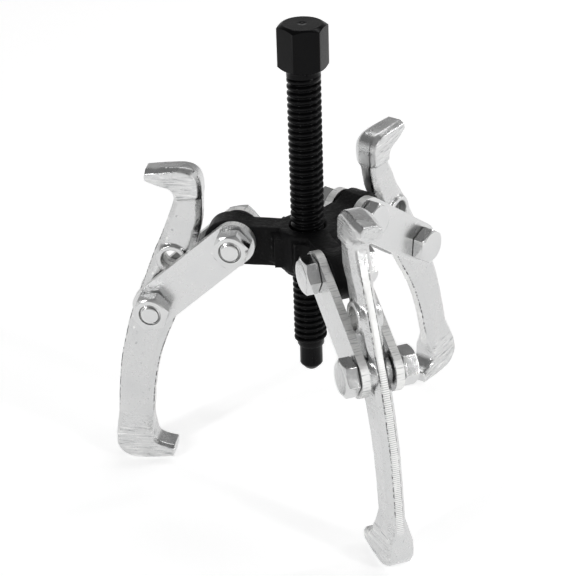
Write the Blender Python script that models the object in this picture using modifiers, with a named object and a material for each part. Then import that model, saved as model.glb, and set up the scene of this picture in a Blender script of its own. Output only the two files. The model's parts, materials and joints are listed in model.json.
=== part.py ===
"""A three-jaw reversible gear puller: a forged yoke, a forcing screw and three linked jaws.

Metres, +Z up. Z is the screw's axis, and z = 0 is the face that presses on the shaft.
Each leg is built in its own frame: X points outwards, Y towards the nuts and Z up.
"""

import math

import bmesh
import bpy
from mathutils import Matrix, Vector

# The clearance between pieces, and how far shapes joined into one piece run into each other.
GAP = 0.0003
OVERLAP = 0.0006

# Driving sizes
SCREW_D = 0.0127
THREAD_PITCH = 0.00254
SCREW_LENGTH = 0.1425
YOKE_HEIGHT = 0.0567
YOKE_PIVOT_R = 0.0274
LINK_LENGTH = 0.0433
BOLT_D = 0.0079
JOINT_T = 0.0094

# The three legs: the way each one points, and how its links and its jaw stand.
LEG_DIRECTIONS = (180, 300, 60)
LINK_DROPS = (41.4, 33.0, 35.8)
JAW_LEANS = (0.0, 3.0, 8.5)

# Forcing screw
THREAD_DEPTH = 0.0011
THREAD_SIDES = 12
HEAD_AF = 0.0166
HEAD_H = 0.0170
HEAD_TURN = 48
TIP_D = 0.0089
TIP_H = 0.0116
TIP_CHAMFER = 0.0021
TIP_FACE_Z = 0.0012
TIP_FACE_R = 0.0026
BALL_R = 0.0022
BALL_Z = 0.0020
BALL_LIP_R = 0.0021

# Yoke, in heights from the pivots
HUB_R = 0.0118
HUB_TOP = 0.0061
YOKE_BOTTOM = -0.0100
BOSS_BOTTOM = -0.0125
HUB_BOSS_R = 0.0100
HUB_EDGE = 0.0014
ARM_TOP = 0.0054
LUG_R = 0.0090
LUG_REACH = 0.0118
LUG_FLAT = 0.0020
LUG_SLOPE = 0.0060
ARM_START = 0.0070
ARM_EDGE = 0.0011
ROOT_HALF_W = 0.0072
ROOT_END = 0.0185
YOKE_BORE_D = SCREW_D + 0.0009

# Links, bolts and nuts. The turns are each leg's: how far its hexagons are turned, in degrees.
LINK_T = 0.0031
LINK_W = 0.0166
BOLT_AF = 0.0129
BOLT_HEAD_H = 0.0050
BOLT_END = 0.0153
BOLT_EDGE = 0.0009
NUT_H = 0.0064
BOLT_TURNS = (0, 0, 30)
NUT_TURNS = (0, 0, 30)
HEX_FACE_SHARE = 0.94
HEX_CHAMFER_ANGLE = 30
HOLE_D = BOLT_D + 2 * GAP
LINK_INNER = JOINT_T / 2 + GAP
LINK_OUTER = LINK_INNER + LINK_T

# Jaw
SPARE_HOLE = (-0.0075, 0.0189)
SPARE_HOLE_D = 0.0083
BOSS_R = 0.0065

# The jaw's sections: half the thickness of the sides, half the width of the edge between
# them, and how far the slope from one to the other runs in.
SHANK = (0.0034, 0.0013, 0.0030)
NECK = (0.0040, 0.0020, 0.0026)
HOOK = (0.0050, 0.0036, 0.0013)
HOOK_TIP = (0.0043, 0.0032, 0.0013)
FOOT = (0.0052, 0.0040, 0.0012)

# From the hook's tip to the foot's toe: a point on the back, the one across from it on the
# front, and the section there. Millimetres, X outwards and Z up from the jaw's pivot.
JAW_STATIONS = (
    ((0.8, 56.2), (1.6, 50.9), HOOK_TIP),
    ((-6.7, 56.9), (-3.0, 49.2), HOOK),
    ((-14.2, 57.3), (-6.7, 48.2), HOOK),
    ((-18.3, 55.7), (-8.3, 47.3), HOOK),
    ((-20.2, 52.1), (-9.1, 46.0), HOOK),
    ((-20.5, 46.4), (-9.3, 44.7), HOOK),
    ((-20.2, 44.5), (-9.0, 43.0), NECK),
    ((-19.7, 36.1), (-6.5, 36.2), NECK),
    ((-18.3, 29.6), (-3.6, 29.1), SHANK),
    ((-16.4, 22.6), (-0.4, 22.1), SHANK),
    ((-14.2, 14.9), (2.6, 14.6), SHANK),
    ((-11.8, 7.2), (5.3, 7.3), SHANK),
    ((-9.4, -1.2), (9.0, -1.1), SHANK),
    ((-6.3, -9.1), (12.0, -9.9), SHANK),
    ((-3.1, -16.4), (14.1, -17.8), SHANK),
    ((-0.2, -24.4), (16.0, -25.6), SHANK),
    ((2.0, -33.1), (17.3, -33.7), SHANK),
    ((3.5, -42.4), (18.4, -42.8), SHANK),
    ((4.5, -51.8), (19.2, -52.4), SHANK),
    ((4.7, -59.2), (20.1, -61.3), FOOT),
    ((3.9, -62.9), (19.7, -68.2), FOOT),
    ((1.2, -64.7), (13.4, -72.3), FOOT),
    ((-3.8, -65.7), (-2.9, -71.2), FOOT),
)

BODY_SIDES = 36
HOLE_SIDES = 20
BOSS_SIDES = 24
BALL_SIDES = 16


def clear_scene():
    for obj in list(bpy.data.objects):
        bpy.data.objects.remove(obj, do_unlink=True)


def make_material(name, color, metallic, roughness):
    material = bpy.data.materials.new(name)
    material.use_nodes = True
    shader = material.node_tree.nodes["Principled BSDF"]
    shader.inputs["Base Color"].default_value = (*color, 1.0)
    shader.inputs["Metallic"].default_value = metallic
    shader.inputs["Roughness"].default_value = roughness
    return material


def mesh_object(name, mesh, collection):
    obj = bpy.data.objects.new(name, mesh)
    collection.objects.link(obj)
    return obj


def bmesh_to_mesh(bm, name):
    bmesh.ops.recalc_face_normals(bm, faces=bm.faces)
    mesh = bpy.data.meshes.new(name)
    bm.to_mesh(mesh)
    bm.free()
    return mesh


def bake(obj):
    """The mesh that an object's modifiers make, closed up, with the object removed."""
    graph = bpy.context.evaluated_depsgraph_get()
    mesh = bpy.data.meshes.new_from_object(obj.evaluated_get(graph))
    bpy.data.objects.remove(obj, do_unlink=True)
    bm = bmesh.new()
    bm.from_mesh(mesh)
    bmesh.ops.remove_doubles(bm, verts=bm.verts, dist=1e-6)
    bmesh.ops.recalc_face_normals(bm, faces=bm.faces)
    bm.to_mesh(mesh)
    bm.free()
    return mesh


def chamfered(mesh, width):
    """The mesh with its sharp edges cut back by this width."""
    obj = mesh_object("chamfered", mesh, bpy.context.scene.collection)
    modifier = obj.modifiers.new("chamfer", "BEVEL")
    modifier.width = width
    modifier.segments = 1
    modifier.limit_method = "ANGLE"
    modifier.angle_limit = math.radians(40)
    return bake(obj)


def combine(mesh, others, operation):
    """The mesh after a Boolean with each of the other meshes in turn."""
    for other in others:
        obj = mesh_object("target", mesh, bpy.context.scene.collection)
        cutter = mesh_object("cutter", other, CUTTERS)
        modifier = obj.modifiers.new(operation, "BOOLEAN")
        modifier.operation = operation
        modifier.solver = "EXACT"
        modifier.object = cutter
        mesh = bake(obj)
        bpy.data.objects.remove(cutter, do_unlink=True)
    return mesh


def turned(profile, sides):
    """A solid of revolution about Z. The profile is (radius, height) from the top to the bottom."""
    mesh = bpy.data.meshes.new("profile")
    points = [(radius, 0.0, height) for radius, height in profile]
    mesh.from_pydata(points, [(i, i + 1) for i in range(len(points) - 1)], [])
    obj = mesh_object("profile", mesh, bpy.context.scene.collection)
    screw = obj.modifiers.new("turn", "SCREW")
    screw.steps = screw.render_steps = sides
    screw.use_merge_vertices = True
    screw.merge_threshold = 1e-5
    return bake(obj)


def cylinder(radius, low, high, sides, centre=(0.0, 0.0)):
    bm = bmesh.new()
    bmesh.ops.create_cone(
        bm, cap_ends=True, segments=sides, radius1=radius, radius2=radius, depth=high - low
    )
    bmesh.ops.translate(bm, verts=bm.verts, vec=(*centre, (high + low) / 2))
    return bmesh_to_mesh(bm, "cylinder")


def plate(outlines, low, high):
    """A flat part from closed outlines in X and Y, the first one outside and the rest holes."""
    curve = bpy.data.curves.new("outline", "CURVE")
    curve.dimensions = "2D"
    curve.fill_mode = "BOTH"
    curve.extrude = (high - low) / 2
    for outline in outlines:
        spline = curve.splines.new("POLY")
        spline.points.add(len(outline) - 1)
        for point, (x, y) in zip(spline.points, outline):
            point.co = (x, y, 0.0, 1.0)
        spline.use_cyclic_u = True
    mesh = bake(mesh_object("outline", curve, bpy.context.scene.collection))
    mesh.transform(Matrix.Translation((0.0, 0.0, (high + low) / 2)))
    return mesh


def arc(centre, radius, start, end, steps):
    """Points along an arc, with the angles in degrees."""
    angles = [math.radians(start + (end - start) * i / steps) for i in range(steps + 1)]
    return [(centre[0] + radius * math.cos(a), centre[1] + radius * math.sin(a)) for a in angles]


def across_leg(mesh):
    """Turns a part built along Z so that it lies along Y, towards the nuts."""
    mesh.transform(Matrix.Rotation(math.radians(-90), 4, "X"))
    return mesh


def upright(mesh):
    """Turns a part drawn in X and Y so that its Y stands up along Z."""
    mesh.transform(Matrix.Rotation(math.radians(90), 4, "X"))
    return mesh


def hex_block(across_flats, low, high, both_ends):
    """A hexagonal prism whose corners are chamfered at the top, or at both ends."""
    corner = across_flats / math.sqrt(3)
    slope = math.tan(math.radians(HEX_CHAMFER_ANGLE))
    rim = corner + GAP
    face = across_flats / 2 * HEX_FACE_SHARE
    drop = (rim - face) * slope
    cone_top = face - GAP / slope
    profile = [(0.0, high + GAP), (cone_top, high + GAP), (rim, high - drop)]
    if both_ends:
        profile += [(rim, low + drop), (cone_top, low - GAP), (0.0, low - GAP)]
    else:
        profile += [(rim, low - GAP), (0.0, low - GAP)]
    return combine(cylinder(corner, low, high, 6), [turned(profile, BODY_SIDES)], "INTERSECT")


def helical_thread(low, high):
    """A rod with a V thread, closed by a flat ring at each end."""
    crest = SCREW_D / 2
    root = crest - THREAD_DEPTH
    lead_in = THREAD_PITCH / 2
    turns = round((high - low) / THREAD_PITCH) - 1
    count = turns * THREAD_SIDES
    start = low + ((high - low) - (turns + 1) * THREAD_PITCH) / 2 + lead_in / 2
    bm = bmesh.new()

    def point(radius, step, height):
        angle = 2 * math.pi * step / THREAD_SIDES
        return bm.verts.new((radius * math.cos(angle), radius * math.sin(angle), height))

    roots = []
    for i in range(count + THREAD_SIDES + 1):
        roots.append(point(root, i, start + THREAD_PITCH * i / THREAD_SIDES))
    crests = []
    for i in range(count + 1):
        crests.append(point(crest, i, start + THREAD_PITCH * (i / THREAD_SIDES + 0.5)))
    for i in range(count):
        bm.faces.new((roots[i], roots[i + 1], crests[i + 1], crests[i]))
        above = i + THREAD_SIDES
        bm.faces.new((crests[i], crests[i + 1], roots[above + 1], roots[above]))
    bm.faces.new((roots[0], crests[0], roots[THREAD_SIDES]))
    bm.faces.new((roots[count], roots[count + THREAD_SIDES], crests[count]))
    for height, first in ((low, 0), (high, count)):
        ring = [point(root - GAP, first + i, height) for i in range(THREAD_SIDES)]
        for i in range(THREAD_SIDES):
            edge = (roots[first + i], roots[first + i + 1])
            bm.faces.new((ring[i], ring[(i + 1) % THREAD_SIDES], edge[1], edge[0]))
        bm.faces.new((ring[0], roots[first], roots[first + THREAD_SIDES]))
        bm.faces.new(ring)
    return bmesh_to_mesh(bm, "thread")


def screw_tip():
    """The plain end of the screw, with the round socket that keeps the ball in."""
    radius = TIP_D / 2
    neck = SCREW_D / 2 - THREAD_DEPTH - GAP
    socket_r = BALL_R + GAP
    socket = arc((0.0, BALL_Z), socket_r, -10, 90, 6)
    socket[-1] = (0.0, BALL_Z + socket_r)
    outline = [
        (0.0, TIP_H + 2 * OVERLAP),
        (neck, TIP_H + 2 * OVERLAP),
        (neck, TIP_H + GAP),
        (radius, TIP_H),
        (radius, TIP_FACE_Z + TIP_CHAMFER),
        (TIP_FACE_R, TIP_FACE_Z),
        (BALL_LIP_R, TIP_FACE_Z),
    ]
    return turned(outline + socket, BALL_SIDES * 2)


def pressure_ball():
    """The captive ball, ground flat where it bears on the shaft."""
    flat_angle = -math.degrees(math.asin(BALL_Z / BALL_R))
    outline = arc((0.0, BALL_Z), BALL_R, 90, flat_angle, 8)
    outline[0] = (0.0, BALL_Z + BALL_R)
    return turned([*outline, (0.0, 0.0)], BALL_SIDES)


def forcing_screw():
    head_bottom = SCREW_LENGTH - HEAD_H
    head = hex_block(HEAD_AF, head_bottom, SCREW_LENGTH, both_ends=True)
    head.transform(Matrix.Rotation(math.radians(HEAD_TURN), 4, "Z"))
    thread = helical_thread(TIP_H + OVERLAP, head_bottom + OVERLAP)
    return combine(head, [thread, screw_tip()], "UNION")


def yoke_arm():
    """One arm with its lug, and the flare that joins it to the hub."""
    lug_x = YOKE_PIVOT_R + LUG_REACH - LUG_R
    lug_z = YOKE_BOTTOM + LUG_R
    flat_x = lug_x - LUG_FLAT
    outline = [
        (ARM_START, YOKE_BOTTOM),
        *arc((lug_x, lug_z), LUG_R, -90, 90, 12),
        (flat_x, lug_z + LUG_R),
        (flat_x - LUG_SLOPE / 2, (lug_z + LUG_R + ARM_TOP) / 2 - GAP),
        (flat_x - LUG_SLOPE, ARM_TOP),
        (ARM_START, ARM_TOP),
    ]
    arm = chamfered(upright(plate([outline], -JOINT_T / 2, JOINT_T / 2)), ARM_EDGE)
    end_half_w = JOINT_T / 2 - ARM_EDGE / 2
    flare = [
        (ARM_START, -ROOT_HALF_W),
        (ROOT_END, -end_half_w),
        (ROOT_END, end_half_w),
        (ARM_START, ROOT_HALF_W),
    ]
    root = plate([flare], YOKE_BOTTOM + OVERLAP, ARM_TOP - GAP)
    return combine(arm, [root], "UNION")


def yoke():
    hub = turned(
        [
            (0.0, HUB_TOP),
            (HUB_R - HUB_EDGE, HUB_TOP),
            (HUB_R, HUB_TOP - HUB_EDGE),
            (HUB_R, YOKE_BOTTOM),
            (HUB_BOSS_R, YOKE_BOTTOM),
            (HUB_BOSS_R, BOSS_BOTTOM + HUB_EDGE),
            (HUB_BOSS_R - HUB_EDGE, BOSS_BOTTOM),
            (0.0, BOSS_BOTTOM),
        ],
        BODY_SIDES,
    )
    for direction in LEG_DIRECTIONS:
        arm = yoke_arm()
        hole = across_leg(cylinder(HOLE_D / 2, -JOINT_T, JOINT_T, HOLE_SIDES))
        hole.transform(Matrix.Translation((YOKE_PIVOT_R, 0.0, 0.0)))
        arm = combine(arm, [hole], "DIFFERENCE")
        arm.transform(Matrix.Rotation(math.radians(direction), 4, "Z"))
        hub = combine(hub, [arm], "UNION")
    bore = cylinder(YOKE_BORE_D / 2, BOSS_BOTTOM - OVERLAP, HUB_TOP + OVERLAP, BODY_SIDES)
    return combine(hub, [bore], "DIFFERENCE")


def link():
    """One flat link along X, from the yoke's pivot to the jaw's, with its inner face at z = 0."""
    radius = LINK_W / 2
    outline = [
        *arc((LINK_LENGTH, 0.0), radius, -90, 90, 12),
        *arc((0.0, 0.0), radius, 90, 270, 12),
    ]
    last = 360 / HOLE_SIDES
    circles = [arc((x, 0.0), HOLE_D / 2, 360, last, HOLE_SIDES - 1) for x in (0.0, LINK_LENGTH)]
    return plate([outline, *circles], 0.0, LINK_T)


def bolt():
    """A hexagon bolt along Z with its middle at the leg's plane, its head at the low end."""
    head_low = LINK_OUTER + GAP
    radius = BOLT_D / 2
    head = hex_block(BOLT_AF, head_low, head_low + BOLT_HEAD_H, both_ends=False)
    shank = turned(
        [
            (0.0, head_low + OVERLAP),
            (radius, head_low + OVERLAP),
            (radius, BOLT_EDGE - BOLT_END),
            (radius - BOLT_EDGE, -BOLT_END),
            (0.0, -BOLT_END),
        ],
        HOLE_SIDES,
    )
    whole = combine(head, [shank], "UNION")
    whole.transform(Matrix.Rotation(math.radians(180), 4, "X"))
    return whole


def nut():
    low = LINK_OUTER + GAP
    blank = hex_block(BOLT_AF, low, low + NUT_H, both_ends=True)
    bore = cylinder(HOLE_D / 2, low - OVERLAP, low + NUT_H + OVERLAP, HOLE_SIDES)
    return combine(blank, [bore], "DIFFERENCE")


def jaw():
    """A forged reversible jaw: its sections joined from the hook's tip to the foot's toe."""
    bm = bmesh.new()
    rings = []
    for back, front, (half, edge, slope) in JAW_STATIONS:
        inner = Vector((back[0], 0.0, back[1])) / 1000
        outer = Vector((front[0], 0.0, front[1])) / 1000
        draft = (outer - inner).normalized() * slope
        section = (
            (inner, -edge),
            (inner + draft, -half),
            (outer - draft, -half),
            (outer, -edge),
            (outer, edge),
            (outer - draft, half),
            (inner + draft, half),
            (inner, edge),
        )
        verts = [bm.verts.new((at.x, side, at.z)) for at, side in section]
        rings.append([bm.edges.new((verts[i - 1], verts[i])) for i in range(len(verts))])
    for first, second in zip(rings, rings[1:]):
        bmesh.ops.bridge_loops(bm, edges=first + second)
    for end in (rings[0], rings[-1]):
        bmesh.ops.edgeloop_fill(bm, edges=end)
    blank = bmesh_to_mesh(bm, "jaw")
    centres = ((0.0, 0.0), SPARE_HOLE)
    bosses = []
    holes = []
    for (x, z), diameter in zip(centres, (HOLE_D, SPARE_HOLE_D)):
        place = Matrix.Translation((x, 0.0, z))
        boss = across_leg(cylinder(BOSS_R, -JOINT_T / 2, JOINT_T / 2, BOSS_SIDES))
        hole = across_leg(cylinder(diameter / 2, -JOINT_T, JOINT_T, HOLE_SIDES))
        boss.transform(place)
        hole.transform(place)
        bosses.append(boss)
        holes.append(hole)
    return combine(combine(blank, bosses, "UNION"), holes, "DIFFERENCE")


def smooth_round(mesh):
    """Round faces shade smoothly and real edges stay sharp."""
    mesh.polygons.foreach_set("use_smooth", [True] * len(mesh.polygons))
    mesh.set_sharp_from_angle(angle=math.radians(32))
    return mesh


def part(name, mesh, material, parent=None):
    obj = mesh_object(name, mesh, PULLER)
    mesh.materials.clear()
    mesh.materials.append(material)
    obj.parent = parent
    return obj


def pivot(name, location, rotation, parent=None):
    empty = bpy.data.objects.new(name, None)
    empty.empty_display_size = 0.01
    empty.location = location
    empty.rotation_euler = rotation
    empty.parent = parent
    PULLER.objects.link(empty)
    return empty


def build_leg(number, direction, drop, lean, turns, meshes):
    """Two links, a jaw and two bolts with their nuts, hung from the yoke at one pivot."""
    yaw = math.radians(direction)
    place = (YOKE_PIVOT_R * math.cos(yaw), YOKE_PIVOT_R * math.sin(yaw), YOKE_HEIGHT)
    yoke_pivot = pivot(f"link_pivot_{number}", place, (0.0, math.radians(drop), yaw))
    swing = -math.radians(drop + lean)
    jaw_pivot = pivot(f"jaw_pivot_{number}", (LINK_LENGTH, 0.0, 0.0), (0.0, swing, 0.0), yoke_pivot)
    for side, offset in (("nut", LINK_INNER), ("head", -LINK_OUTER)):
        plate_link = part(f"{side}_side_link_{number}", meshes["link"].copy(), ZINC, yoke_pivot)
        plate_link.location = (0.0, offset, 0.0)
    for where, along in (("yoke", 0.0), ("jaw", LINK_LENGTH)):
        for piece, turn in zip(("bolt", "nut"), turns):
            fastener = part(f"{where}_{piece}_{number}", meshes[piece].copy(), ZINC, yoke_pivot)
            fastener.location = (along, 0.0, 0.0)
            fastener.rotation_euler = (0.0, math.radians(turn), 0.0)
    part(f"jaw_{number}", meshes["jaw"].copy(), FORGED_ZINC, jaw_pivot)


clear_scene()
PULLER = bpy.data.collections.new("gear_puller")
CUTTERS = bpy.data.collections.new("cutters")
for group in (PULLER, CUTTERS):
    bpy.context.scene.collection.children.link(group)
CUTTERS.hide_render = True
BLACK_OXIDE = make_material("black_oxide", (0.012, 0.012, 0.013), 0.6, 0.38)
BLACK_FORGED = make_material("black_forged", (0.015, 0.015, 0.016), 0.4, 0.52)
ZINC = make_material("bright_zinc", (0.72, 0.73, 0.74), 1.0, 0.28)
FORGED_ZINC = make_material("forged_zinc", (0.68, 0.69, 0.70), 1.0, 0.36)
HARDENED = make_material("hardened_steel", (0.30, 0.30, 0.31), 1.0, 0.25)

yoke_object = part("yoke", smooth_round(yoke()), BLACK_FORGED)
yoke_object.location = (0.0, 0.0, YOKE_HEIGHT)
part("forcing_screw", smooth_round(forcing_screw()), BLACK_OXIDE)
part("pressure_ball", smooth_round(pressure_ball()), HARDENED)
LEG_MESHES = {
    "link": smooth_round(across_leg(link())),
    "bolt": smooth_round(across_leg(bolt())),
    "nut": smooth_round(across_leg(nut())),
    "jaw": smooth_round(jaw()),
}
HEX_TURNS = zip(BOLT_TURNS, NUT_TURNS)
LEGS = zip(LEG_DIRECTIONS, LINK_DROPS, JAW_LEANS, HEX_TURNS)
for leg, (direction, drop, lean, turns) in enumerate(LEGS, 1):
    build_leg(leg, direction, drop, lean, turns, LEG_MESHES)
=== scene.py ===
"""The looks of a three-jaw gear puller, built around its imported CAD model.

Metres, in the CAD frame: +Z is the screw's axis and z = 0 is the face that presses on the shaft.
Each leg is built in its own frame: X points outwards, Y towards the nuts and Z up.
"""

import json
import math

import bmesh
import bpy
from mathutils import Matrix, Vector, noise


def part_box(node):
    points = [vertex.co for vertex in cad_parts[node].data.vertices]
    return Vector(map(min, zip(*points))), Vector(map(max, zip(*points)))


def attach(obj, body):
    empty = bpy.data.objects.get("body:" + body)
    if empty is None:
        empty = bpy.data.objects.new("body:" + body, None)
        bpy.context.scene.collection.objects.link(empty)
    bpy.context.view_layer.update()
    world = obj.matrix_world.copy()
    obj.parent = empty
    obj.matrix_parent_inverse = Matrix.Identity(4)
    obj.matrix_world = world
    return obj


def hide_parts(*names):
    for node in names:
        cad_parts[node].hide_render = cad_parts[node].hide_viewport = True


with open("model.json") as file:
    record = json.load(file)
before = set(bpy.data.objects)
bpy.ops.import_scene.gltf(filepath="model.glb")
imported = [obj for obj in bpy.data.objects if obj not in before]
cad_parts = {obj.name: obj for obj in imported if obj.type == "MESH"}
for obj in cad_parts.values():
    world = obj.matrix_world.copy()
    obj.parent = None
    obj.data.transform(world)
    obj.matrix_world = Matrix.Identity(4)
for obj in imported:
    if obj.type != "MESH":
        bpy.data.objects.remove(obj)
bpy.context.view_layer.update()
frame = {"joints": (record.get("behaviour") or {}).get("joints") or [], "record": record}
JOINTS = {joint["name"]: joint for joint in frame["joints"]}

# Shared sizes
GAP = 0.0003
SCREW_D = 0.0127
BOLT_D = 0.0079
BOLT_AF = 0.0129
BOLT_HEAD_H = 0.0050
BOLT_END = 0.0153
BOLT_THREAD_DEPTH = 0.00065
BOLT_THREAD_TURNS = 5
BOLT_PITCH = 0.00125
NUT_H = 0.0064
HEX_ROUNDING = 0.00045
JOINT_T = 0.0094
LINK_T = 0.0031
LINK_W = 0.0166
LINK_INNER = JOINT_T / 2 + GAP
LINK_OUTER = LINK_INNER + LINK_T
HOLE_R = BOLT_D / 2 + GAP

# The three legs, in the order of their numbers: how their jaws lean and their hexagons turn.
JAW_LEANS = (0.0, 3.0, 8.5)
HEX_TURNS = (0.0, 0.0, 30.0)

# Forcing screw
THREAD_PITCH = 0.00254
THREAD_DEPTH = 0.00110
SCREW_ROOT_R = SCREW_D / 2 - THREAD_DEPTH
HEAD_AF = 0.0166
HEAD_H = 0.0170
HEAD_TURN = 48
TIP_R = 0.00445
TIP_H = 0.0116
BALL_R = 0.0022
BALL_Z = 0.0020

# One thread from root to root: how far along the pitch, and what share of the full depth.
THREAD_PROFILE = (
    (0.00, 1.00), (0.08, 0.97), (0.14, 0.86), (0.22, 0.52), (0.30, 0.16), (0.34, 0.05),
    (0.38, 0.00), (0.62, 0.00), (0.66, 0.05), (0.70, 0.16), (0.78, 0.52), (0.86, 0.86),
    (0.92, 0.97),
)

# Hexagons: the points along one flat, as shares of it, and round one corner, in degrees.
FLAT_SHARES = (-1.0, -0.75, -0.45, -0.15, 0.15, 0.45, 0.75, 1.0)
CORNER_ANGLES = (12, 24, 36, 48)
SIDES = 6 * (len(FLAT_SHARES) + len(CORNER_ANGLES))
CHAMFER_SLOPE = math.tan(math.radians(30))

# The jaw's sections: half the thickness of the sides, half the width of the edge between
# them, and how far the slope from one to the other runs in.
SHANK = (0.0034, 0.0013, 0.0030)
NECK = (0.0040, 0.0022, 0.0024)
HOOK = (0.0050, 0.0029, 0.0016)
HOOK_TIP = (0.0045, 0.0026, 0.0016)
FOOT = (0.0052, 0.0040, 0.0012)

# From the hook's tip to the foot's toe: a point on the back, the one across from it on the
# front, and the section there. Millimetres, X outwards and Z up from the jaw's pivot.
# These are not sizes worked out by hand. A scratch program turned points read off the
# photograph into millimetres, and another carried them over to a better camera fit. Only the
# four front points from the lower NECK row to the third SHANK row were then moved.
JAW_STATIONS = (
    ((0.8, 56.2), (1.6, 50.9), HOOK_TIP),
    ((-6.7, 56.9), (-3.0, 49.2), HOOK),
    ((-14.2, 57.3), (-6.7, 48.2), HOOK),
    ((-18.3, 55.7), (-8.3, 47.3), HOOK),
    ((-20.2, 52.1), (-9.1, 46.0), HOOK),
    ((-20.5, 46.4), (-9.3, 44.7), HOOK),
    ((-20.2, 44.5), (-9.0, 43.0), NECK),
    ((-19.7, 36.1), (-6.5, 36.2), NECK),
    ((-18.3, 29.6), (-3.6, 29.1), SHANK),
    ((-16.4, 22.6), (-0.4, 22.1), SHANK),
    ((-14.2, 14.9), (2.6, 14.6), SHANK),
    ((-11.8, 7.2), (5.3, 7.3), SHANK),
    ((-9.4, -1.2), (9.0, -1.1), SHANK),
    ((-6.3, -9.1), (12.0, -9.9), SHANK),
    ((-3.1, -16.4), (14.1, -17.8), SHANK),
    ((-0.2, -24.4), (16.0, -25.6), SHANK),
    ((2.0, -33.1), (17.3, -33.7), SHANK),
    ((3.5, -42.4), (18.4, -42.8), SHANK),
    ((4.5, -51.8), (19.2, -52.4), SHANK),
    ((4.7, -59.2), (20.1, -61.3), FOOT),
    ((3.9, -62.9), (19.7, -68.2), FOOT),
    ((1.2, -64.7), (13.4, -72.3), FOOT),
    ((-3.8, -65.7), (-2.9, -71.2), FOOT),
)
SPARE_HOLE = (-0.0075, 0.0189)
SPARE_HOLE_R = 0.00415

# How finely the forgings' skins are remeshed, and how far the floor reaches and glows.
FORGED_VOXEL = 0.0004
FLOOR_REACH = 4.0
FLOOR_GLOW = 0.52


# ---------------------------------------------------------------- shapes


def turn(degrees, axis):
    return Matrix.Rotation(math.radians(degrees), 4, axis)


def finished(bm, name):
    bmesh.ops.recalc_face_normals(bm, faces=bm.faces)
    mesh = bpy.data.meshes.new(name)
    bm.to_mesh(mesh)
    bm.free()
    return mesh


def loft(bm, rings, cyclic=False):
    """Quads between rings of points. Returns the rings as vertices."""
    made = [[bm.verts.new(point) for point in ring] for ring in rings]
    pairs = list(zip(made, made[1:]))
    if cyclic:
        pairs.append((made[-1], made[0]))
    for below, above in pairs:
        bridge(bm, below, above)
    return made


def bridge(bm, below, above):
    count = len(below)
    for i in range(count):
        after = (i + 1) % count
        bm.faces.new((below[i], below[after], above[after], above[i]))


def cap(bm, ring):
    """Closes a ring with a fan of triangles round its middle."""
    middle = bm.verts.new(sum((vert.co for vert in ring), Vector()) / len(ring))
    for i, vert in enumerate(ring):
        bm.faces.new((vert, ring[(i + 1) % len(ring)], middle))


def circle(radius, z, angles):
    return [Vector((radius * math.cos(a), radius * math.sin(a), z)) for a in angles]


def even_angles(start=0.0, count=SIDES):
    return [math.radians(start) + 2 * math.pi * i / count for i in range(count)]


def turned(profile, count=64):
    """A solid of revolution about Z, from (radius, height) pairs, closed by its end rings."""
    bm = bmesh.new()
    rings = loft(bm, [circle(radius, z, even_angles(0.0, count)) for radius, z in profile])
    cap(bm, rings[0])
    cap(bm, rings[-1])
    return finished(bm, "turned")


def hexagon(across_flats, rounding):
    """Points round a hexagon with rounded corners. The first flat faces +X."""
    apothem = across_flats / 2
    reach = (apothem - rounding) * math.tan(math.radians(30))
    corner = (apothem - rounding) / math.cos(math.radians(30))
    points = []
    for side in range(6):
        flat_turn = Matrix.Rotation(math.radians(60 * side), 2)
        for share in FLAT_SHARES:
            points.append(flat_turn @ Vector((apothem, share * reach)))
        heading = math.radians(60 * side + 30)
        centre = Vector((math.cos(heading), math.sin(heading))) * corner
        for angle in CORNER_ANGLES:
            a = math.radians(60 * side + angle)
            points.append(centre + Vector((math.cos(a), math.sin(a))) * rounding)
    return points


def hex_end(outline, z, side, face_r, soft):
    """Rings from a hexagon's flat end, across its chamfer and onto its sides.

    The side is +1 for the top end and -1 for the bottom one. Soft is the width of the edges.
    """
    angles = [math.atan2(p.y, p.x) for p in outline]
    inner = circle(face_r - soft, z, angles)
    outer = circle(face_r + soft * 0.6, z - side * soft * CHAMFER_SLOPE, angles)
    slope = []
    edge = []
    below = []
    for p in outline:
        drop = (p.length - face_r) * CHAMFER_SLOPE
        held = p * (1 - soft * 0.7 / p.length)
        slope.append(Vector((held.x, held.y, z - side * (drop - soft * 0.1))))
        edge.append(Vector((p.x * 0.9985, p.y * 0.9985, z - side * (drop + soft * 0.35))))
        below.append(Vector((p.x, p.y, z - side * (drop + soft * 1.3))))
    return [inner, outer, slope, edge, below]


def flat_end(outline, z, side, soft):
    """Rings from a hexagon's square-edged end onto its sides."""
    inner = [Vector((p.x * 0.97, p.y * 0.97, z)) for p in outline]
    edge = [Vector((p.x * 0.995, p.y * 0.995, z)) for p in outline]
    below = [Vector((p.x, p.y, z - side * soft)) for p in outline]
    return [inner, edge, below]


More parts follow.
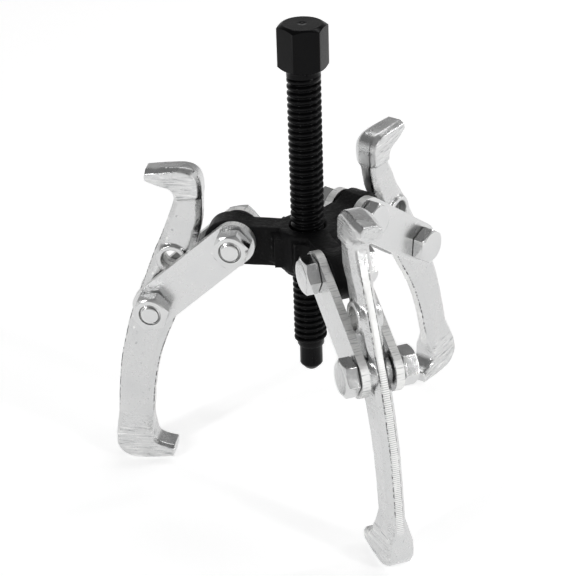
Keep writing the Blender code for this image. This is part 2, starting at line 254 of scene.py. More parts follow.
def thread(bm, ring, start, low, turns, crest, depth, pitch):
    """Winds a thread upwards from a flat ring at the root and returns the flat ring above it.

    It grows out of the root over the first quarter turn, and its groove fills in to the crest
    over the last half turn.
    """
    count = len(ring)
    rows = len(THREAD_PROFILE)
    last = turns * rows
    root = crest - depth
    chamfer_z = ring[0].co.z

    def vert(row, step):
        share, deep = THREAD_PROFILE[row % rows]
        along = row // rows + step / count
        z = low + pitch * (along + share)
        radius = root + depth * (1 - deep) * min(1.0, along * 4)
        radius += (crest - radius) * (1 - max(0.0, min(1.0, (turns - along) * 2)))
        radius = min(radius, root + (z - chamfer_z) * 1.2)
        a = start + 2 * math.pi * step / count
        return bm.verts.new((radius * math.cos(a), radius * math.sin(a), z))

    first = [vert(row, 0) for row in range(last + rows + 1)]
    grid = []
    for row in range(last + 1):
        grid.append([first[row]] + [vert(row, s) for s in range(1, count)] + [first[row + rows]])
    for low_row, high_row in zip(grid, grid[1:]):
        for s in range(count):
            bm.faces.new((low_row[s], low_row[s + 1], high_row[s + 1], high_row[s]))
    bottom = grid[0]
    for s in range(count - 1):
        bm.faces.new((ring[s], ring[s + 1], bottom[s + 1], bottom[s]))
    bm.faces.new([ring[-1], ring[0]] + first[: rows + 1] + [bottom[count - 1]])
    angles = [start + 2 * math.pi * s / count for s in range(count)]
    top_z = low + pitch * (turns + 1) + pitch / 10
    above = [bm.verts.new(point) for point in circle(crest, top_z, angles)]
    top = grid[-1]
    bm.faces.new([first[last], top[1], above[1], above[0]] + first[last + 1 :][::-1])
    for s in range(1, count):
        bm.faces.new((top[s], top[s + 1], above[(s + 1) % count], above[s]))
    return above


def headed_rod(lower, threads, upper, head, face):
    """A threaded rod with a hexagon head on top, in one skin.

    Lower and upper are (radius, height) pairs below the thread and above it. Threads is its
    first height, its turns, crest radius, depth and pitch. Head is the outline, the lowest and
    the highest rings of the hexagon, and face is its top, from the outside in.
    """
    outline, underside, crown = head
    bm = bmesh.new()
    start = math.atan2(outline[0].y, outline[0].x)
    angles = [start + 2 * math.pi * i / SIDES for i in range(SIDES)]
    rings = loft(bm, [circle(radius, z, angles) for radius, z in lower])
    cap(bm, rings[0])
    above = thread(bm, rings[-1], start, *threads)
    hex_angles = [math.atan2(p.y, p.x) for p in outline]
    rings = [circle(radius, z, angles) for radius, z in upper] + underside + crown[::-1]
    rings += [circle(radius, z, hex_angles) for radius, z in face]
    made = loft(bm, rings)
    bridge(bm, above, made[0])
    cap(bm, made[-1])
    return finished(bm, "headed_rod")


def forcing_screw(top):
    socket = [math.radians(75 - 15 * i) for i in range(7)]
    socket_r = BALL_R + 0.0002
    lower = [(socket_r * math.cos(a), BALL_Z + socket_r * math.sin(a)) for a in socket]
    lower += [
        (BALL_R + 0.0001, 0.0012),
        (0.0026, 0.0011),
        (TIP_R - 0.0003, 0.0028),
        (TIP_R, 0.0033),
        (TIP_R, 0.0042),
        (TIP_R, TIP_H - 0.0005),
        (TIP_R + 0.0001, TIP_H - 0.0001),
        (SCREW_ROOT_R - 0.0002, TIP_H),
        (SCREW_ROOT_R, TIP_H + 0.0003),
    ]
    head_low = top - HEAD_H
    low = TIP_H + 0.0005
    turns = int((head_low - GAP - low) / THREAD_PITCH) - 1
    threads = (low, turns, SCREW_D / 2, THREAD_DEPTH, THREAD_PITCH)
    outline = hexagon(HEAD_AF, 0.0006)
    face_r = HEAD_AF / 2 * 0.90
    underside = hex_end(outline, head_low, -1, face_r, 0.0003)
    crown = hex_end(outline, top, 1, face_r, 0.0003)
    face = []
    groove_count = 11
    for i in range(2 * groove_count):
        radius = face_r * (0.92 - 0.70 * i / (2 * groove_count))
        face.append((radius, top - 0.00005 * (i % 2)))
    face += [(0.0011, top - 0.00002), (0.0009, top - 0.00012), (0.0003, top - 0.00022)]
    upper = [(SCREW_D / 2, head_low - 0.0004), (SCREW_D / 2 + 0.0003, head_low)]
    mesh = headed_rod(lower, threads, upper, (outline, underside, crown), face)
    mesh.transform(turn(HEAD_TURN, "Z"))
    return mesh


def bolt():
    """A bolt with its middle at the leg's plane, its head towards -Y and its end towards +Y."""
    head_low = LINK_OUTER + GAP
    head_high = head_low + BOLT_HEAD_H
    end = -BOLT_END
    radius = BOLT_D / 2
    root = radius - BOLT_THREAD_DEPTH
    lower = [(root - 0.0007, end), (root - 0.00045, end + 0.00003), (root, end + 0.0003)]
    threads = (end + 0.00035, BOLT_THREAD_TURNS, radius, BOLT_THREAD_DEPTH, BOLT_PITCH)
    outline = hexagon(BOLT_AF, HEX_ROUNDING)
    face_r = BOLT_AF / 2 * 0.93
    underside = flat_end(outline, head_low, -1, 0.00025)
    crown = hex_end(outline, head_high, 1, face_r, 0.00022)
    face = [(face_r * 0.7, head_high), (face_r * 0.3, head_high - 0.00002)]
    upper = [(radius, head_low - 0.001), (radius + 0.0001, head_low)]
    mesh = headed_rod(lower, threads, upper, (outline, underside, crown), face)
    mesh.transform(turn(90, "X"))
    return mesh


def nut():
    low = LINK_OUTER + GAP
    high = low + NUT_H
    outline = hexagon(BOLT_AF, HEX_ROUNDING)
    angles = [math.atan2(p.y, p.x) for p in outline]
    face_r = BOLT_AF / 2 * 0.91
    bore = BOLT_D / 2 + 0.0001
    mouth = bore + 0.00035
    rings = [circle(mouth, low, angles), circle(bore, low + 0.0004, angles)]
    rings += [circle(bore, high - 0.0005, angles), circle(mouth, high - 0.00004, angles)]
    rings += [circle(mouth + 0.0002, high, angles)]
    rings += hex_end(outline, high, 1, face_r, 0.00022)
    rings += hex_end(outline, low, -1, face_r, 0.00022)[::-1]
    bm = bmesh.new()
    loft(bm, rings, cyclic=True)
    mesh = finished(bm, "nut")
    mesh.transform(turn(-90, "X"))
    return mesh


def ball():
    """The captive ball, with the flat that bears on the shaft."""
    lowest = math.degrees(math.asin(-BALL_Z / BALL_R))
    angles = [math.radians(lowest + (88 - lowest) * i / 24) for i in range(25)]
    profile = [(BALL_R * math.cos(a), BALL_Z + BALL_R * math.sin(a)) for a in angles]
    return turned([(profile[0][0] * 0.9, 0.0), (profile[0][0], 0.00002), *profile[1:]], 48)


def arc(centre, radius, start, end, steps):
    angles = [math.radians(start + (end - start) * i / steps) for i in range(steps + 1)]
    return [(centre[0] + radius * math.cos(a), centre[1] + radius * math.sin(a)) for a in angles]


def plate(outlines, low, high):
    """A flat mesh from closed outlines in X and Y, the first one outside and the rest holes."""
    curve = bpy.data.curves.new("outline", "CURVE")
    curve.dimensions = "2D"
    curve.fill_mode = "BOTH"
    curve.extrude = (high - low) / 2
    for outline in outlines:
        spline = curve.splines.new("POLY")
        spline.points.add(len(outline) - 1)
        for point, (x, y) in zip(spline.points, outline):
            point.co = (x, y, 0.0, 1.0)
        spline.use_cyclic_u = True
    mesh = baked(curve, [])
    mesh.transform(Matrix.Translation((0.0, 0.0, (high + low) / 2)))
    return mesh


def baked(data, modifiers):
    """The welded mesh that these modifiers make of some mesh or curve."""
    obj = bpy.data.objects.new("working", data)
    bpy.context.scene.collection.objects.link(obj)
    for kind, settings in modifiers:
        modifier = obj.modifiers.new(kind, kind)
        for key, value in settings.items():
            setattr(modifier, key, value)
    graph = bpy.context.evaluated_depsgraph_get()
    mesh = bpy.data.meshes.new_from_object(obj.evaluated_get(graph))
    bpy.data.objects.remove(obj, do_unlink=True)
    bm = bmesh.new()
    bm.from_mesh(mesh)
    bmesh.ops.remove_doubles(bm, verts=bm.verts, dist=1e-6)
    bmesh.ops.recalc_face_normals(bm, faces=bm.faces)
    bm.to_mesh(mesh)
    bm.free()
    return mesh


def rounded(mesh, width, segments=3, angle=35):
    settings = {
        "width": width,
        "segments": segments,
        "limit_method": "ANGLE",
        "angle_limit": math.radians(angle),
    }
    return baked(mesh, [("BEVEL", settings)])


def link():
    """A stamped link along X, from the yoke's pivot to the jaw's, with its inner face at y = 0."""
    radius = LINK_W / 2
    outline = arc((LINK_LENGTH, 0.0), radius, -90, 90, 40) + arc((0.0, 0.0), radius, 90, 270, 40)
    holes = [arc((x, 0.0), HOLE_R, 360, 7.5, 47) for x in (0.0, LINK_LENGTH)]
    mesh = rounded(plate([outline, *holes], 0.0, LINK_T), 0.00035)
    mesh.transform(turn(-90, "X"))
    return mesh


def joined(meshes):
    bm = bmesh.new()
    for mesh in meshes:
        bm.from_mesh(mesh)
    return finished(bm, "joined")


def forged(meshes, passes, roughness, seed):
    """One skin round overlapping solids, with its edges eased and its surface a little uneven."""
    modifiers = [
        ("REMESH", {"mode": "VOXEL", "voxel_size": FORGED_VOXEL}),
        ("SMOOTH", {"factor": 0.5, "iterations": passes}),
    ]
    mesh = baked(joined(meshes), modifiers)
    shift = Vector((seed, 2 * seed, 3 * seed))
    normals = [vert.normal.copy() for vert in mesh.vertices]
    for vert, normal in zip(mesh.vertices, normals):
        at = vert.co * 1000
        wave = noise.noise(at * 0.16 + shift) + 0.4 * noise.noise(at * 0.55 + shift)
        vert.co += normal * wave * roughness
    return mesh


def drilled(mesh, cutters):
    """The mesh with these solids cut out of it, one after the other."""
    for cutter in cutters:
        tool = bpy.data.objects.new("cutter", cutter)
        bpy.context.scene.collection.objects.link(tool)
        settings = {"operation": "DIFFERENCE", "solver": "EXACT", "object": tool}
        mesh = baked(mesh, [("BOOLEAN", settings)])
        bpy.data.objects.remove(tool, do_unlink=True)
    return mesh


def drill(radius, half_length, ease):
    """A cutter along Y for a hole whose mouths are eased, at this distance from the middle."""
    profile = [
        (radius + 2 * ease, -half_length - ease),
        (radius, -half_length + ease),
        (radius, half_length - ease),
        (radius + 2 * ease, half_length + ease),
    ]
    cutter = turned(profile, 48)
    cutter.transform(turn(-90, "X"))
    return cutter


def yoke_arm():
    """One arm with its lug and the flare that joins it to the hub, along X."""
    pivot_to_end = 0.0118
    lug_r = 0.0090
    bottom = -0.0100
    top = 0.0060
    flare_x = 0.0168
    flare_y = 0.0100
    flare_r = 0.0056
    lug_x = YOKE_PIVOT_R + pivot_to_end - lug_r
    lug_z = bottom + lug_r
    outline = [(0.0, bottom)]
    outline += arc((lug_x, lug_z), lug_r, -90, 90, 24)
    valley = [(lug_x - 0.0020, 0.0080), (lug_x - 0.0050, 0.0070), (lug_x - 0.0080, top)]
    outline += valley
    outline.append((0.0, top))
    arm = plate([outline], -JOINT_T / 2, JOINT_T / 2)
    arm.transform(turn(90, "X"))
    arm = rounded(arm, 0.0011, 4)
    flare = []
    for side, order in ((1, 1), (-1, -1)):
        centre = (flare_x, side * flare_y)
        flare += arc(centre, flare_r, 180 * side, 270 * side, 8)[::order]
    flare = [(0.0040, 0.0088), *flare, (0.0040, -0.0088)]
    root = plate([flare], bottom + 0.0020, top - 0.0018)
    return [arm, root]


def yoke():
    hub = turned(
        [
            (0.0086, -0.0125),
            (0.0096, -0.0122),
            (0.0100, -0.0112),
            (0.0101, -0.0102),
            (0.0112, -0.0100),
            (0.0118, -0.0094),
            (0.0118, 0.0047),
            (0.0115, 0.0056),
            (0.0106, 0.0061),
            (0.0070, 0.0061),
        ]
    )
    solids = [hub]
    pivots = []
    for number in (1, 2, 3):
        joint = JOINTS[f"link_swing_{number}"]
        across = -Vector(joint["axis"])
        heading = math.degrees(math.atan2(-across.x, across.y))
        for mesh in yoke_arm():
            mesh.transform(turn(heading, "Z"))
            solids.append(mesh)
        cutter = drill(HOLE_R, JOINT_T / 2, GAP)
        cutter.transform(turn(heading, "Z") @ Matrix.Translation((YOKE_PIVOT_R, 0.0, 0.0)))
        pivots.append(cutter)
    bore_r = SCREW_D / 2 + 0.00035
    bore = turned(
        [
            (bore_r + 0.0018, -0.0138),
            (bore_r, -0.0118),
            (bore_r, 0.0053),
            (bore_r + 0.0018, 0.0074),
        ]
    )
    return drilled(forged(solids, passes=5, roughness=0.00009, seed=3.1), [bore, *pivots])


def spline_between(a, b, c, d, t):
    """A point between b and c on a smooth curve through all four."""
    return 0.5 * (
        2 * b + (c - a) * t + (2 * a - 5 * b + 4 * c - d) * t**2 + (3 * b - a - 3 * c + d) * t**3
    )


def jaw_sections():
    """The jaw's stations as vectors, with more of them in between."""
    rows = []
    for back, front, section in JAW_STATIONS:
        rows.append((Vector(back) / 1000, Vector(front) / 1000, Vector(section)))
    padded = [rows[0], *rows, rows[-1]]
    steps = 4
    for before, here, after, beyond in zip(padded, padded[1:], padded[2:], padded[3:]):
        for i in range(steps):
            t = i / steps
            back = spline_between(before[0], here[0], after[0], beyond[0], t)
            front = spline_between(before[1], here[1], after[1], beyond[1], t)
            yield back, front, here[2].lerp(after[2], t)
    yield rows[-1]


def jaw_blank():
    rings = []
    for back, front, (half, edge, slope) in jaw_sections():
        draft = (front - back).normalized() * slope
        ring = []
        corners = ((back, -edge), (back + draft, -half), (front - draft, -half), (front, -edge))
        for at, side in corners:
            ring.append(Vector((at.x, side, at.y)))
        for at, side in corners[::-1]:
            ring.append(Vector((at.x, -side, at.y)))
        rings.append(ring)
    bm = bmesh.new()
    made = loft(bm, rings)
    cap(bm, made[0])
    cap(bm, made[-1])
    return finished(bm, "jaw_blank")


def boss(half, x, z):
    """A raised ring's solid across the jaw, with a flare down to the sides."""
    side = [(0.0058, half), (0.0061, half - 0.0003), (0.0063, half - 0.0009)]
    side += [(0.0066, half - 0.0014), (0.0069, 0.0027)]
    mesh = turned(side + [(radius, -y) for radius, y in side[::-1]])
    mesh.transform(Matrix.Translation((x, 0.0, z)) @ turn(-90, "X"))
    return mesh


def jaw():
    places = ((0.0, 0.0, HOLE_R), (*SPARE_HOLE, SPARE_HOLE_R))
    solids = [jaw_blank()]
    cutters = []
    for x, z, radius in places:
        solids.append(boss(JOINT_T / 2, x, z))
        cutter = drill(radius, JOINT_T / 2, GAP)
        cutter.transform(Matrix.Translation((x, 0.0, z)))
        cutters.append(cutter)
    return drilled(forged(solids, passes=3, roughness=0.00006, seed=7.7), cutters)


# ---------------------------------------------------------------- finishes


class Finish:
    """A Principled material whose textures are laid in the piece's own coordinates."""

    def __init__(self, name, metallic, specular=0.5):
        self.material = bpy.data.materials.new(name)
        self.material.use_nodes = True
        self.tree = self.material.node_tree
        self.shader = self.tree.nodes["Principled BSDF"]
        self.shader.inputs["Metallic"].default_value = metallic
        self.shader.inputs["Specular IOR Level"].default_value = specular
        self.place = self.add("TexCoord", output="Object")
        self.seed = self.math("MULTIPLY", self.add("ObjectInfo", output="Random"), 20.0)
        self.normal = None

    def add(self, kind, inputs=None, output=0, **settings):
        node = self.tree.nodes.new("ShaderNode" + kind)
        for key, value in settings.items():
            setattr(node, key, value)
        for key, value in (inputs or {}).items():
            if isinstance(value, bpy.types.NodeSocket):
                self.tree.links.new(value, node.inputs[key])
            else:
                node.inputs[key].default_value = value
        return node.outputs[output]

    def math(self, operation, a, b=0.0):
        return self.add("Math", {0: a, 1: b}, operation=operation)

    def noise(self, size, detail=3.0, roughness=0.5, stretch=(1.0, 1.0, 1.0), tilt=0.0):
        """Noise with features of about this size, longer along an axis with a smaller stretch."""
        place = self.add(
            "Mapping",
            {"Vector": self.place, "Rotation": (0.0, math.radians(tilt), 0.0), "Scale": stretch},
        )
        inputs = {"Vector": place, "W": self.seed, "Scale": 1 / size}
        inputs.update({"Detail": detail, "Roughness": roughness})
        return self.add("TexNoise", inputs, noise_dimensions="4D")

    def remap(self, value, low, high, to_low=0.0, to_high=1.0):
        inputs = {"Value": value, 1: low, 2: high, 3: to_low, 4: to_high}
        return self.add("MapRange", inputs, interpolation_type="SMOOTHSTEP")

    def mix(self, factor, a, b):
        node = self.tree.nodes.new("ShaderNodeMix")
        node.data_type = "RGBA"
        for index, value in ((0, factor), (6, a), (7, b)):
            if isinstance(value, bpy.types.NodeSocket):
                self.tree.links.new(value, node.inputs[index])
            elif index:
                node.inputs[index].default_value = (*value, 1.0)
            else:
                node.inputs[index].default_value = value
        return node.outputs[2]

    def bump(self, height, distance, strength=1.0):
        inputs = {"Height": height, "Distance": distance, "Strength": strength}
        if self.normal:
            inputs["Normal"] = self.normal
        self.normal = self.add("Bump", inputs)

    def axis(self, name):
        return self.add("SeparateXYZ", {0: self.place}, output=name)

    def edges(self, low, high):
        """1 on convex edges and 0 elsewhere."""
        return self.remap(self.add("NewGeometry", output="Pointiness"), low, high)

    def made(self, color, roughness):
        self.tree.links.new(color, self.shader.inputs["Base Color"])
        self.tree.links.new(roughness, self.shader.inputs["Roughness"])
        self.tree.links.new(self.normal, self.shader.inputs["Normal"])
        return self.material


def bright_zinc():
    """Plated bolts and nuts: bright, nearly smooth, faintly cloudy and scratched."""
    f = Finish("bright_zinc", 1.0)
    cloud = f.noise(0.006, 4.0, 0.6)
    grain = f.noise(0.00035, 2.0, 0.6)
    scratch = f.noise(0.0016, 5.0, 0.7, (0.12, 1.0, 1.6), 35)
    color = f.mix(cloud, (0.58, 0.585, 0.59), (0.68, 0.68, 0.675))
    worn = f.edges(0.52, 0.60)
    color = f.mix(worn, color, (0.76, 0.76, 0.75))
    rough = f.remap(cloud, 0.3, 0.7, 0.12, 0.20)
    rough = f.math("ADD", rough, f.remap(scratch, 0.62, 0.72, 0.0, 0.08))
    f.bump(grain, 0.000012)
    f.bump(cloud, 0.00010)
    f.bump(f.remap(scratch, 0.60, 0.70), 0.000006)
    return f.made(color, rough)


def stamped_zinc():
    """Plated links: flat faces like the bolts', and edges sheared across their thickness."""
    f = Finish("stamped_zinc", 1.0)
    cloud = f.noise(0.008, 4.0, 0.55)
    grain = f.noise(0.00035, 2.0, 0.6)
    scratch = f.noise(0.0016, 5.0, 0.7, (0.12, 1.0, 1.6), 20)
    facing = f.add("SeparateXYZ", {0: f.add("TexCoord", output="Normal")}, output="Y")
    sheared = f.remap(f.math("ABSOLUTE", facing), 0.55, 0.25)
    lines = f.noise(0.0006, 3.0, 0.6, (1.0, 0.08, 1.0))
    color = f.mix(cloud, (0.60, 0.605, 0.61), (0.68, 0.68, 0.675))
    dulled = f.math("MULTIPLY", sheared, f.remap(lines, 0.50, 0.70))
    color = f.mix(sheared, color, (0.82, 0.82, 0.81))
    color = f.mix(dulled, color, (0.46, 0.465, 0.47))
    rough = f.remap(cloud, 0.3, 0.7, 0.22, 0.30)
    rough = f.math("ADD", rough, f.remap(scratch, 0.62, 0.72, 0.0, 0.07))
    rough = f.math("ADD", rough, f.math("MULTIPLY", sheared, 0.25))
    f.bump(grain, 0.000012)
    f.bump(cloud, 0.00004)
    f.bump(f.math("MULTIPLY", sheared, lines), 0.00022)
    return f.made(color, rough)


def forged_zinc():
    """Plated forgings: grainy shanks with a trimmed seam, and hooks with ground sides."""
    f = Finish("forged_zinc", 1.0)
    z = f.axis("Z")
    side = f.math("ABSOLUTE", f.axis("Y"))
    # The hook above and the foot below are ground on the sides that stand out from the shank.
    upper = f.remap(z, 0.0445, 0.0455)
    lower = f.remap(z, -0.0560, -0.0570)
    ground = f.math("MULTIPLY", f.remap(side, 0.0041, 0.0046), f.math("ADD", upper, lower))
    # The flash is trimmed off the shank's edges, which leaves a strip with chatter marks.
    seam = f.math("MULTIPLY", f.remap(side, 0.00150, 0.00135), f.remap(z, 0.040, 0.036))
    seam = f.math("MULTIPLY", seam, f.remap(z, -0.058, -0.054))
    # Painted shade: a near-black line, broken up by the pit noise, is painted along both borders of the
    # trimmed strip, where it meets the slopes.
    painted_shade_line = f.math("MULTIPLY", f.remap(side, 0.00125, 0.00140), f.remap(side, 0.00175, 0.00160))
    painted_shade_line = f.math("MULTIPLY", painted_shade_line, f.remap(z, 0.040, 0.036))
    painted_shade_line = f.math("MULTIPLY", painted_shade_line, f.remap(z, -0.054, -0.046))
    trim = f.add(
        "TexWave",
        {"Vector": f.place, "Scale": 420.0, "Distortion": 0.6, "Detail": 1.0, "Detail Scale": 900.0},
        output="Fac",
        bands_direction="Z",
    )
    cloud = f.noise(0.008, 4.0, 0.6)
    pits = f.noise(0.0011, 3.0, 0.55)
    grain = f.noise(0.00030, 2.0, 0.6)
    brush = f.noise(0.0011, 4.0, 0.65, (0.16, 1.0, 1.4), 62)
    rough_skin = f.math("SUBTRACT", 1.0, f.math("MINIMUM", f.math("ADD", ground, seam), 1.0))
    color = f.mix(cloud, (0.55, 0.555, 0.56), (0.67, 0.67, 0.665))
    color = f.mix(f.math("MULTIPLY", ground, f.remap(brush, 0.50, 0.68)), color, (0.84, 0.84, 0.83))
    color = f.mix(f.math("MULTIPLY", ground, f.remap(brush, 0.46, 0.34)), color, (0.36, 0.365, 0.37))
    spots = f.math("MULTIPLY", rough_skin, f.remap(pits, 0.62, 0.74))
    color = f.mix(spots, color, (0.40, 0.405, 0.41))
    color = f.mix(f.edges(0.52, 0.58), color, (0.76, 0.76, 0.75))
    color = f.mix(seam, color, (0.86, 0.86, 0.85))
    chatter = f.math("MULTIPLY", f.remap(z, 0.016, -0.006), f.remap(f.noise(0.012, 3.0), 0.30, 0.50))
    trim = f.math("MULTIPLY", trim, f.remap(chatter, 0.0, 1.0, 0.40, 1.0))
    color = f.mix(f.math("MULTIPLY", seam, f.remap(trim, 0.60, 0.95)), color, (0.46, 0.465, 0.47))
    color = f.mix(f.math("MULTIPLY", painted_shade_line, f.remap(pits, 0.42, 0.56)), color, (0.10, 0.10, 0.105))
    rough = f.remap(cloud, 0.3, 0.7, 0.20, 0.32)
    rough = f.math("ADD", rough, f.math("MULTIPLY", seam, 0.22))
    rough = f.math("ADD", rough, f.math("MULTIPLY", ground, f.remap(brush, 0.3, 0.7, -0.04, 0.10)))
    f.bump(f.math("MULTIPLY", pits, rough_skin), 0.00014)
    f.bump(grain, 0.000022)
    f.bump(f.math("MULTIPLY", ground, brush), 0.00016)
    f.bump(f.math("MULTIPLY", seam, trim), 0.00006)
    f.bump(seam, 0.00010)
    return f.made(color, rough)


def black_forged():
    """Blackened forging: dull, scaly, and a little lighter where its edges are rubbed."""
    f = Finish("black_forged", 0.0, 0.09)
    scale = f.noise(0.0016, 5.0, 0.62)
    grain = f.noise(0.0004, 3.0, 0.6)
    patch = f.noise(0.009, 3.0, 0.5)
    color = f.mix(patch, (0.0015, 0.0015, 0.0017), (0.0045, 0.0045, 0.0048))
    color = f.mix(f.remap(scale, 0.55, 0.75), color, (0.014, 0.014, 0.0145))
    color = f.mix(f.edges(0.52, 0.60), color, (0.045, 0.045, 0.046))
    rough = f.remap(scale, 0.3, 0.7, 0.30, 0.55)
    f.bump(scale, 0.00034)
    f.bump(grain, 0.00010)
    return f.made(color, rough)


def black_oxide():
    """Oiled black oxide on turned steel: dark and satin, with crests rubbed a little brighter."""
    f = Finish("black_oxide", 0.0, 0.08)
    cloud = f.noise(0.004, 4.0, 0.6)
    grain = f.noise(0.0003, 3.0, 0.6)
    color = f.mix(cloud, (0.0015, 0.0015, 0.0017), (0.004, 0.004, 0.0043))
    color = f.mix(f.edges(0.62, 0.74), color, (0.012, 0.012, 0.0125))
    rough = f.remap(cloud, 0.3, 0.7, 0.14, 0.22)
    f.bump(cloud, 0.00005)
    f.bump(grain, 0.00002)
    return f.made(color, rough)


def hardened_steel():
    """The ground ball: grey steel with fine rings of grinding marks."""
    f = Finish("hardened_steel", 1.0)
    cloud = f.noise(0.0015, 3.0, 0.5)
    rings = f.noise(0.0004, 3.0, 0.5, (0.15, 0.15, 2.0))
    color = f.mix(cloud, (0.16, 0.16, 0.165), (0.26, 0.26, 0.26))
    rough = f.remap(rings, 0.3, 0.7, 0.22, 0.36)
    f.bump(rings, 0.00001)
    return f.made(color, rough)


# ---------------------------------------------------------------- the object

LINK_LENGTH = (Vector(JOINTS["jaw_swing_1"]["pos_m"]) - Vector(JOINTS["link_swing_1"]["pos_m"])).length
YOKE_PIVOT = Vector(JOINTS["link_swing_1"]["pos_m"])
YOKE_HEIGHT = YOKE_PIVOT.z
YOKE_PIVOT_R = math.hypot(YOKE_PIVOT.x, YOKE_PIVOT.y)

FINISHES = {
    "bright_zinc": bright_zinc(),
    "stamped_zinc": stamped_zinc(),
    "forged_zinc": forged_zinc(),
    "black_forged": black_forged(),
    "black_oxide": black_oxide(),
    "hardened_steel": hardened_steel(),
}
BODY_OF = {
    node: body
    for body, nodes in frame["record"]["behaviour"]["bodies"].items()
    for node in nodes
}


def show(node, mesh, place, finish):
    """Puts a finished piece where a CAD node is, and lets it ride on that node's body."""
    mesh.polygons.foreach_set("use_smooth", [True] * len(mesh.polygons))
    mesh.set_sharp_from_angle(angle=math.radians(38))
    mesh.materials.clear()
    mesh.materials.append(FINISHES[finish])
    piece = bpy.data.objects.new(f"{node}_piece", mesh)
    bpy.context.scene.collection.objects.link(piece)
    piece.matrix_world = place
    if finish in ("bright_zinc", "stamped_zinc"):
        shading = piece.modifiers.new("flat faces", "WEIGHTED_NORMAL")
        shading.keep_sharp = True
    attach(piece, BODY_OF[node])
    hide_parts(node)
    return piece


def frame_at(origin, outward, across):
    """A frame with X outwards and Y across, at this point."""
    up = outward.cross(across)
    return Matrix.Translation(origin) @ Matrix((outward, across, up)).transposed().to_4x4()


def build_leg(number, lean, hex_turn, meshes):
    link_pivot = Vector(JOINTS[f"link_swing_{number}"]["pos_m"])
    jaw_pivot = Vector(JOINTS[f"jaw_swing_{number}"]["pos_m"])
    across = -Vector(JOINTS[f"link_swing_{number}"]["axis"])
    along = (jaw_pivot - link_pivot).normalized()
    leg = frame_at(link_pivot, along, across)
    for side, offset in (("nut", LINK_INNER), ("head", -LINK_OUTER)):
        place = leg @ Matrix.Translation((0.0, offset, 0.0))
        show(f"{side}_side_link_{number}", meshes["link"], place, "stamped_zinc")
    for where, x in (("yoke", 0.0), ("jaw", LINK_LENGTH)):
        place = leg @ Matrix.Translation((x, 0.0, 0.0)) @ turn(hex_turn, "Y")
        show(f"{where}_bolt_{number}", meshes["bolt"], place, "bright_zinc")
        show(f"{where}_nut_{number}", meshes["nut"], place, "bright_zinc")
    outward = across.cross(Vector((0.0, 0.0, 1.0)))
    place = frame_at(jaw_pivot, outward, across) @ turn(-lean, "Y")
    return show(f"jaw_{number}", meshes["jaw"], place, "forged_zinc")


show("yoke", yoke(), Matrix.Translation((0.0, 0.0, YOKE_HEIGHT)), "black_forged")
show("forcing_screw", forcing_screw(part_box("forcing_screw")[1].z), Matrix(), "black_oxide")
show("pressure_ball", ball(), Matrix(), "hardened_steel")
LEG_MESHES = {"link": link(), "bolt": bolt(), "nut": nut(), "jaw": jaw()}
JAWS = [
    build_leg(number, lean, hex_turn, LEG_MESHES)
    for number, lean, hex_turn in zip((1, 2, 3), JAW_LEANS, HEX_TURNS)
]

# ---------------------------------------------------------------- floor, light and camera


def standing_plane(jaws):
    """The middle of the three points that the jaws stand on, and the floor's upward normal."""
    feet = [[jaw.matrix_world @ vert.co for vert in jaw.data.vertices] for jaw in jaws]
    up = Vector((0.0, 0.0, 1.0))
    for _ in range(4):
        low = [min(points, key=up.dot) for points in feet]
        up = (low[1] - low[0]).cross(low[2] - low[0]).normalized()
        up *= math.copysign(1.0, up.z)
    return sum(low, Vector()) / 3, up


def floor_finish():
    f = Finish("pale_floor", 0.0, 0.2)
    f.shader.inputs["Emission Color"].default_value = (1.0, 1.0, 1.0, 1.0)
    f.shader.inputs["Emission Strength"].default_value = FLOOR_GLOW
    mottle = f.noise(0.5, 2.0)
    f.bump(f.noise(0.002, 3.0), 0.00002)
    return f.made(f.mix(mottle, (0.84, 0.84, 0.84), (0.86, 0.86, 0.86)), f.remap(mottle, 0, 1, 0.6, 0.7))


def add_floor():
    middle, up = standing_plane(JAWS)
    bm = bmesh.new()
    bmesh.ops.create_grid(bm, x_segments=8, y_segments=8, size=FLOOR_REACH)
    floor = bpy.data.objects.new("floor", finished(bm, "floor"))
    floor.data.materials.append(floor_finish())
    bpy.context.scene.collection.objects.link(floor)
    floor.matrix_world = Matrix.Translation(middle) @ up.to_track_quat("Z", "Y").to_matrix().to_4x4()


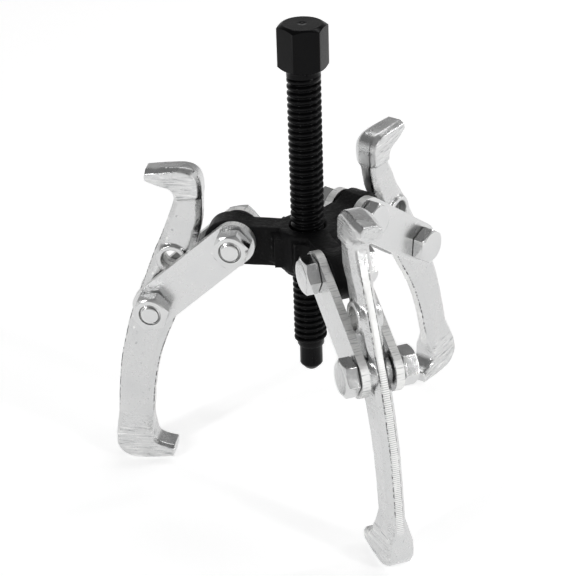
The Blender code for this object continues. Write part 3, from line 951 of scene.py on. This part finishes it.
def add_world():
    """A studio that is pale near the floor and grey overhead."""
    world = bpy.data.worlds.new("studio")
    bpy.context.scene.world = world
    world.use_nodes = True
    tree = world.node_tree
    back = tree.nodes["Background"]
    coords = tree.nodes.new("ShaderNodeTexCoord")
    split = tree.nodes.new("ShaderNodeSeparateXYZ")
    ramp = tree.nodes.new("ShaderNodeValToRGB")
    stops = ((0.0, 0.95), (0.10, 0.88), (0.24, 0.52), (0.45, 0.36), (0.60, 0.20), (1.0, 0.24))
    while len(ramp.color_ramp.elements) < len(stops):
        ramp.color_ramp.elements.new(0.5)
    for element, (position, value) in zip(ramp.color_ramp.elements, stops):
        element.position = position
        element.color = (value, value, value, 1.0)
    tree.links.new(coords.outputs["Generated"], split.inputs[0])
    tree.links.new(split.outputs["Z"], ramp.inputs["Fac"])
    tree.links.new(ramp.outputs["Color"], back.inputs["Color"])
    back.inputs["Strength"].default_value = 1.0


# Each softbox's name, place, width and length, and power in watts. Three stand as narrow
# strips round the screw and one hangs behind it.
SOFTBOXES = (
    ("key", (-0.78, -1.00, 0.75), (0.10, 0.8), 4.0),
    ("fill", (1.09, -0.65, 0.75), (0.10, 0.8), 4.0),
    ("rim", (1.14, 0.56, 0.70), (0.10, 0.8), 3.0),
    ("top", (0.1, 0.9, 1.4), (1.2, 0.3), 4.0),
)
SOFTBOX_AIM = Vector((0.0, 0.0, 0.05))


def add_softbox(name, place, size, power):
    light = bpy.data.lights.new(name, "AREA")
    light.shape = "RECTANGLE"
    light.size, light.size_y = size
    light.energy = power
    lamp = bpy.data.objects.new(name, light)
    bpy.context.scene.collection.objects.link(lamp)
    lamp.location = place
    lamp.rotation_euler = (SOFTBOX_AIM - Vector(place)).to_track_quat("-Z", "Y").to_euler()


def add_camera():
    """The photograph's view: the camera's place round the yoke's middle, and its aim."""
    azimuth, elevation, distance = 9.46, 26.72, 0.704
    pitch, yaw, roll = 28.22, -0.75, -1.95
    data = bpy.data.cameras.new("camera")
    data.sensor_width = 36.0
    data.lens = 116.5
    data.clip_start = 0.01
    camera = bpy.data.objects.new("camera", data)
    bpy.context.scene.collection.objects.link(camera)
    rise = math.radians(elevation)
    away = Vector((0.0, -distance * math.cos(rise), distance * math.sin(rise)))
    centre = Matrix.Translation((0.0, 0.0, YOKE_HEIGHT)) @ turn(azimuth, "Z")
    aim = turn(-yaw, "Z") @ turn(90 - pitch, "X") @ turn(roll, "Z")
    camera.matrix_world = centre @ Matrix.Translation(away) @ aim
    bpy.context.scene.camera = camera


add_floor()
add_world()
for softbox in SOFTBOXES:
    add_softbox(*softbox)
add_camera()
bpy.context.scene.view_settings.view_transform = "Standard"
